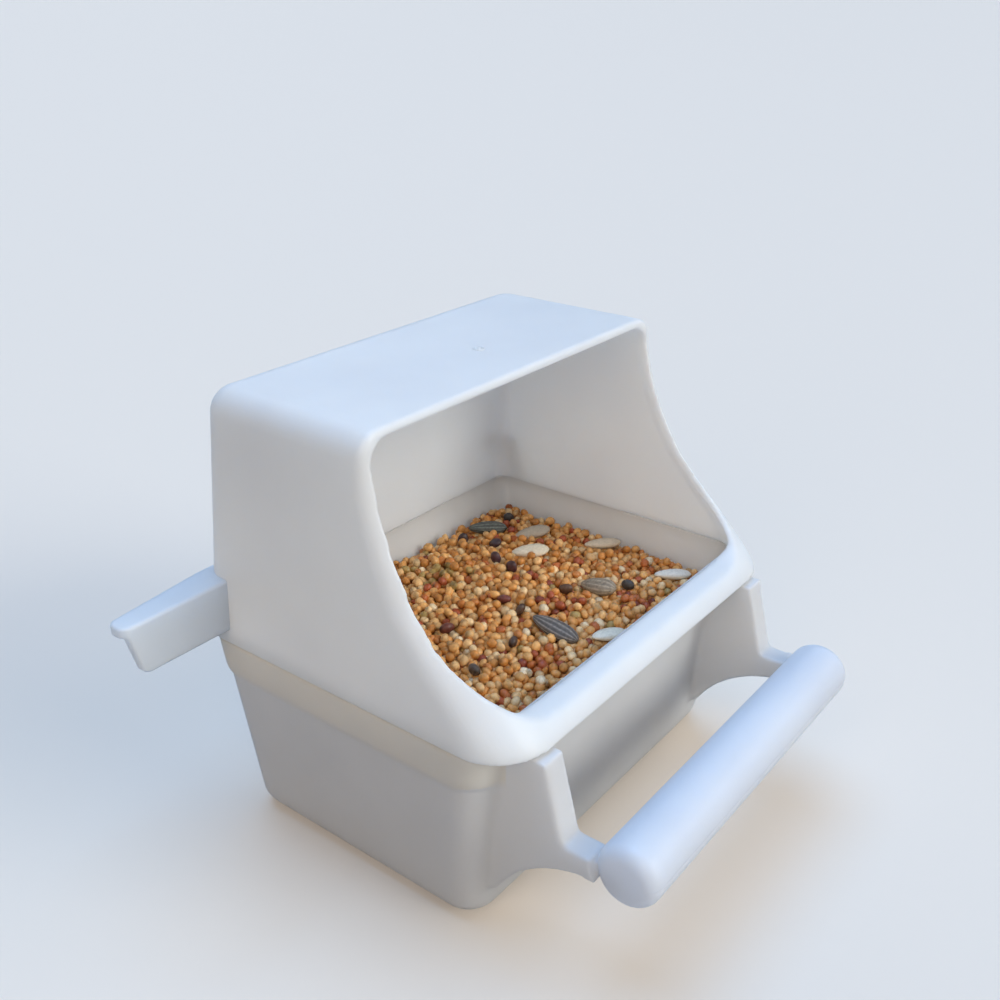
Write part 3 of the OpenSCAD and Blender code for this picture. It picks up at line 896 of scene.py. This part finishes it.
# A hard husk with a dull polish, so that each grain keeps a small highlight, and with fine flecks
fleck_w = 0.7 * MM
husk = add_node(tree, "ShaderNodeVertexColor", {"layer_name": "husk"})
place = add_node(tree, "ShaderNodeTexCoord")
fleck = add_node(tree, "ShaderNodeTexNoise", {"Scale": 1 / fleck_w, "Detail": 2.0},
                 {"Vector": place.outputs["Object"]})
fleck_tone = add_node(tree, "ShaderNodeMapRange", {**noise_middle, "To Min": 0.8, "To Max": 1.1},
                      {"Value": fleck.outputs[0]})
toned = add_node(tree, "ShaderNodeMix",
                 {"data_type": "RGBA", "blend_type": "MULTIPLY", "Factor": 1.0},
                 {"A": husk.outputs[0], "B": fleck_tone.outputs[0]})
polish = add_node(tree, "ShaderNodeMapRange", {**noise_middle, "To Min": 0.30, "To Max": 0.46},
                  {"Value": fleck.outputs[0]})
shader = add_node(tree, "ShaderNodeBsdfPrincipled", {"IOR": 1.5},
                  {"Base Color": toned.outputs["Result"], "Roughness": polish.outputs[0]})
finish_material(tree, shader)
place_piece(millet, "tray", "millet", millet_husk, "millet_grains")

# ---------------------------------------------------------------------------
# Larger seeds: striped sunflower seeds, pale melon seeds and dark vetch.
# Dry hulls that lie flat on the millet. A sunflower seed is a ridged drop with grey stripes, a
# melon seed a flat oval with a raised border, and vetch a flattened ball.
# ---------------------------------------------------------------------------


def hull(length, width, thick, taper, border, dark, pale, stripes):
    """One seed: rings along its length, narrower in front, with a thin edge and long ridges."""
    along, around = 40, 48
    blunt, fullness, least = 2.3, 0.62, 0.012
    flat_side, thin_edge, thin_end, ridge_h = 0.85, 1.15, 0.9, 0.05
    border_at, border_w = 0.86, 0.07
    rings, colours = [], []
    for i in range(along + 1):
        t = -1 + 2 * i / along
        full = max(max(1 - abs(t) ** blunt, 0) ** fullness * (1 - taper * t), least)
        ring = []
        for k in range(around):
            a = 2 * math.pi * k / around
            c, s = math.cos(a), math.sin(a)
            side = math.copysign(abs(c) ** flat_side, c)
            ridge = 1 + ridge_h * math.cos(stripes * a) * full
            lift = math.copysign(abs(s) ** thin_edge, s) * ridge
            edge = 1 + border * math.exp(-((abs(c) - border_at) / border_w) ** 2)
            up = lift * edge * full ** thin_end
            ring.append((t * length / 2, side * full * width / 2, up * thick / 2))
            stripe = min(max((0.5 * math.cos(stripes * a) + 0.05) * 3, 0), 1)
            share = stripe if stripes else 0.5 + 0.3 * t
            colours.append([d * (1 - share) + p * share for d, p in zip(dark, pale)])
        rings.append(ring)
    piece = loft("seed", rings)
    paint = piece.data.color_attributes.new("husk", "FLOAT_COLOR", "POINT")
    paint.data.foreach_set("color", np.array(colours, np.float32).ravel())
    smooth(piece.data)
    return piece


def scatter(name, places, make, rise):
    """Lays a seed at each place, a little tilted, and joins them in one piece."""
    tilts, rolls = (-9, 7, -5, 11, 4), (6, -8, 10, -4, 7)
    laid = []
    for i, (px, py, turn) in enumerate(places):
        x, y = px * seed_half_w, py * seed_half_d
        seed = make(i)
        tilt = Matrix.Rotation(math.radians(tilts[i % 5]), 4, "Y")
        roll = Matrix.Rotation(math.radians(rolls[i % 5]), 4, "X")
        lay = Matrix.Translation((x, y, heap_z(x, y) + rise))
        seed.data.transform(lay @ Matrix.Rotation(math.radians(turn), 4, "Z") @ tilt @ roll)
        laid.append(seed)
    first = laid[0]
    with bpy.context.temp_override(
        active_object=first, selected_editable_objects=laid, object=first
    ):
        bpy.ops.object.join()
    first.name = name
    return first


def dry_hull(name, roughness, flake):
    """A dry seed coat in its own colours, with fine fibres in its colour and height."""
    fibre_w, fibre_h = 0.6 * MM, 0.1 * MM
    material, tree = new_material(name)
    husk = add_node(tree, "ShaderNodeVertexColor", {"layer_name": "husk"})
    place = add_node(tree, "ShaderNodeTexCoord")
    fibre = add_node(tree, "ShaderNodeTexNoise", {"Scale": 1 / fibre_w, "Detail": 3.0},
                     {"Vector": place.outputs["Object"]})
    tone = add_node(tree, "ShaderNodeMapRange",
                    {**noise_middle, "To Min": 1 - flake, "To Max": 1 + flake / 2},
                    {"Value": fibre.outputs[0]})
    mixed = add_node(tree, "ShaderNodeMix",
                     {"data_type": "RGBA", "blend_type": "MULTIPLY", "Factor": 1.0},
                     {"A": husk.outputs[0], "B": tone.outputs[0]})
    relief = add_node(tree, "ShaderNodeBump", {"Strength": 0.5, "Distance": fibre_h},
                      {"Height": fibre.outputs[0]})
    shader = add_node(tree, "ShaderNodeBsdfPrincipled", {"Roughness": roughness},
                      {"Base Color": mixed.outputs["Result"], "Normal": relief.outputs[0]})
    finish_material(tree, shader)
    return material


# Each sunflower seed's length, width, and the colours of its hull and its stripes
sunflower_kinds = [(11.4, 5.2, "#57514D", "#9C948C"), (8.6, 4.8, "#8E7F6C", "#B3A48E"),
                   (9.6, 4.8, "#4C4F4B", "#7D827C")]
sunflower_t, sunflower_taper, sunflower_stripes = 3.0, 0.22, 12


def sunflower_seed(i):
    length, width, dark, pale = sunflower_kinds[i]
    return hull(length, width, sunflower_t, sunflower_taper, 0.0, linear(dark), linear(pale),
                sunflower_stripes)


sunflower = scatter("sunflower", sunflower_places, sunflower_seed, seed_rise + 0.2)
place_piece(sunflower, "tray", "sunflower_hull", dry_hull("striped_sunflower_hull", 0.6, 0.35),
            "sunflower_seeds")

melon_l, melon_w, melon_t, melon_taper, melon_border = 8.8, 4.3, 2.0, 0.16, 0.22
melon_coats = [("#E4DCC4", "#F1EBDA"), ("#EDE3CC", "#F6EFE0"), ("#E6DDCB", "#F0E9DC"),
               ("#B3A797", "#C9BEAE"), ("#D3C3AB", "#E2D5C0")]


def melon_seed(i):
    dark, pale = melon_coats[i]
    return hull(melon_l, melon_w, melon_t, melon_taper, melon_border, linear(dark), linear(pale), 0)


melon = scatter("melon", melon_places, melon_seed, seed_rise + 0.1)
place_piece(melon, "tray", "melon_hull", dry_hull("dry_melon_seed_coat", 0.5, 0.12), "melon_seeds")

vetch_sizes = [3.1, 2.9, 3.2, 3.0, 3.3, 3.0, 2.9, 2.8, 3.1, 2.8, 2.7, 3.2]
vetch_coats = ["#4A3838", "#3E3A3A", "#4B3A42", "#553C44", "#5A3A3E", "#7A4138",
               "#5F4434", "#463E38", "#6E3A2E", "#4F3A30", "#5A4234", "#5C5048"]
vetch_flatness, vetch_length = 0.74, 1.16
vetch_spots = np.array(vetch_places) * (seed_half_w, seed_half_d)
vetch_heights = heap_z(vetch_spots[:, 0], vetch_spots[:, 1]) + seed_rise
vetch = grain_mesh(
    "vetch", np.column_stack([vetch_spots, vetch_heights]), np.array(vetch_sizes),
    [linear(c) for c in vetch_coats], vetch_flatness, vetch_length
)
finer = vetch.modifiers.new("finer", "SUBSURF")
finer.levels = finer.render_levels = 1
apply_modifiers(vetch)
place_piece(vetch, "tray", "vetch", dry_hull("dark_vetch_coat", 0.42, 0.3), "vetch_seeds")

# ---------------------------------------------------------------------------
# Studio: a plain pale floor, soft light and the photograph's viewpoint.
# Cool light falls from above, and nearly white light comes from the front and the left, with a
# little from behind. All the lamps are far off, so that the floor is lit evenly.
# ---------------------------------------------------------------------------
floor_half, floor_r, floor_low, floor_top = 14000, 300, -2.0, -0.02
floor = loft("floor", [
    rounded_ring(z, floor_half, -floor_half, floor_half, floor_r, floor_r)
    for z in (floor_low, floor_top)
])
floor.data.transform(Matrix.Scale(MM, 4))
pale_floor, tree = new_material("matt_paper_floor")
# Pale to the eye and in reflections, and darker for the light that it throws up under the tray
ray = add_node(tree, "ShaderNodeLightPath")
seen = add_node(tree, "ShaderNodeMath", {"operation": "MAXIMUM"},
                {0: ray.outputs["Is Camera Ray"], 1: ray.outputs["Is Glossy Ray"]})
paper = add_node(tree, "ShaderNodeMix",
                 {"data_type": "RGBA", "A": linear("#8C8C8E"), "B": linear("#E2D4C4")},
                 {"Factor": seen.outputs[0]})
glow = add_node(tree, "ShaderNodeMath", {"operation": "MULTIPLY", 1: 0.1}, {0: seen.outputs[0]})
shader = add_node(tree, "ShaderNodeBsdfPrincipled",
                  {"Roughness": 0.9, "Emission Color": linear("#FFFFFF")},
                  {"Base Color": paper.outputs["Result"], "Emission Strength": glow.outputs[0]})
finish_material(tree, shader)
floor.data.materials.append(pale_floor)


def far_lamp(name, place, spread, colour, strength):
    """A lamp far away towards place, seen from the object as a disc spread degrees wide."""
    light = bpy.data.lights.new(name, "SUN")
    light.angle = math.radians(spread)
    light.color, light.energy = colour, strength
    lamp = new_piece(name, light)
    lamp.location = place
    lamp.rotation_euler = Vector(place).to_track_quat("Z", "Y").to_euler()


far_lamp("sky_lamp", (0.12, 0.15, 0.98), 50, (0.27, 0.55, 1.0), 2.4)
far_lamp("left_lamp", (-0.75, -0.40, 0.50), 60, (1.0, 0.88, 0.75), 1.28)
far_lamp("front_lamp", (0.24, -0.86, 0.40), 30, (0.97, 1.0, 0.97), 1.45)
far_lamp("right_lamp", (0.55, -0.68, 0.48), 40, (1.0, 0.93, 0.85), 0.62)
far_lamp("back_lamp", (0.35, 0.80, 0.50), 60, (0.90, 0.95, 1.0), 0.5)

world = bpy.data.worlds.new("room")
bpy.context.scene.world = world
world.use_nodes = True
room = world.node_tree
room.nodes.clear()
ray = add_node(room, "ShaderNodeLightPath")
# The plastic's light from within is that of the white backdrop too
plain = add_node(room, "ShaderNodeMath", {"operation": "MAXIMUM"},
                 {0: ray.outputs["Is Camera Ray"], 1: ray.outputs["Is Transmission Ray"]})
room_light = add_node(room, "ShaderNodeBackground",
                      {"Color": linear("#C9CCD2"), "Strength": 0.06})
backdrop = add_node(room, "ShaderNodeBackground", {"Color": linear("#DCE3EC"), "Strength": 1.0})
shown = add_node(room, "ShaderNodeMixShader", links={
    0: plain.outputs[0], 1: room_light.outputs[0], 2: backdrop.outputs[0]
})
add_node(room, "ShaderNodeOutputWorld", links={"Surface": shown.outputs[0]})

scene = bpy.context.scene
scene.view_settings.view_transform = "Standard"
eye = Vector((-160.4, -127.0, 159.1)) * MM
aim = Vector((2.2, 0.1, 60.0)) * MM
view_roll = math.radians(0.16)
camera = bpy.data.cameras.new("photo_view")
camera.sensor_fit = "HORIZONTAL"
camera.sensor_width = 36.0
camera.lens = 39.96
camera.shift_x, camera.shift_y = 0.0035, 0.0119
camera.clip_start, camera.clip_end = 0.01, 20.0
viewpoint = new_piece("photo_view", camera)
facing = (aim - eye).to_track_quat("-Z", "Y").to_matrix().to_4x4()
viewpoint.matrix_world = (
    Matrix.Translation(eye) @ facing @ Matrix.Rotation(-view_roll, 4, "Z")
)
scene.camera = viewpoint
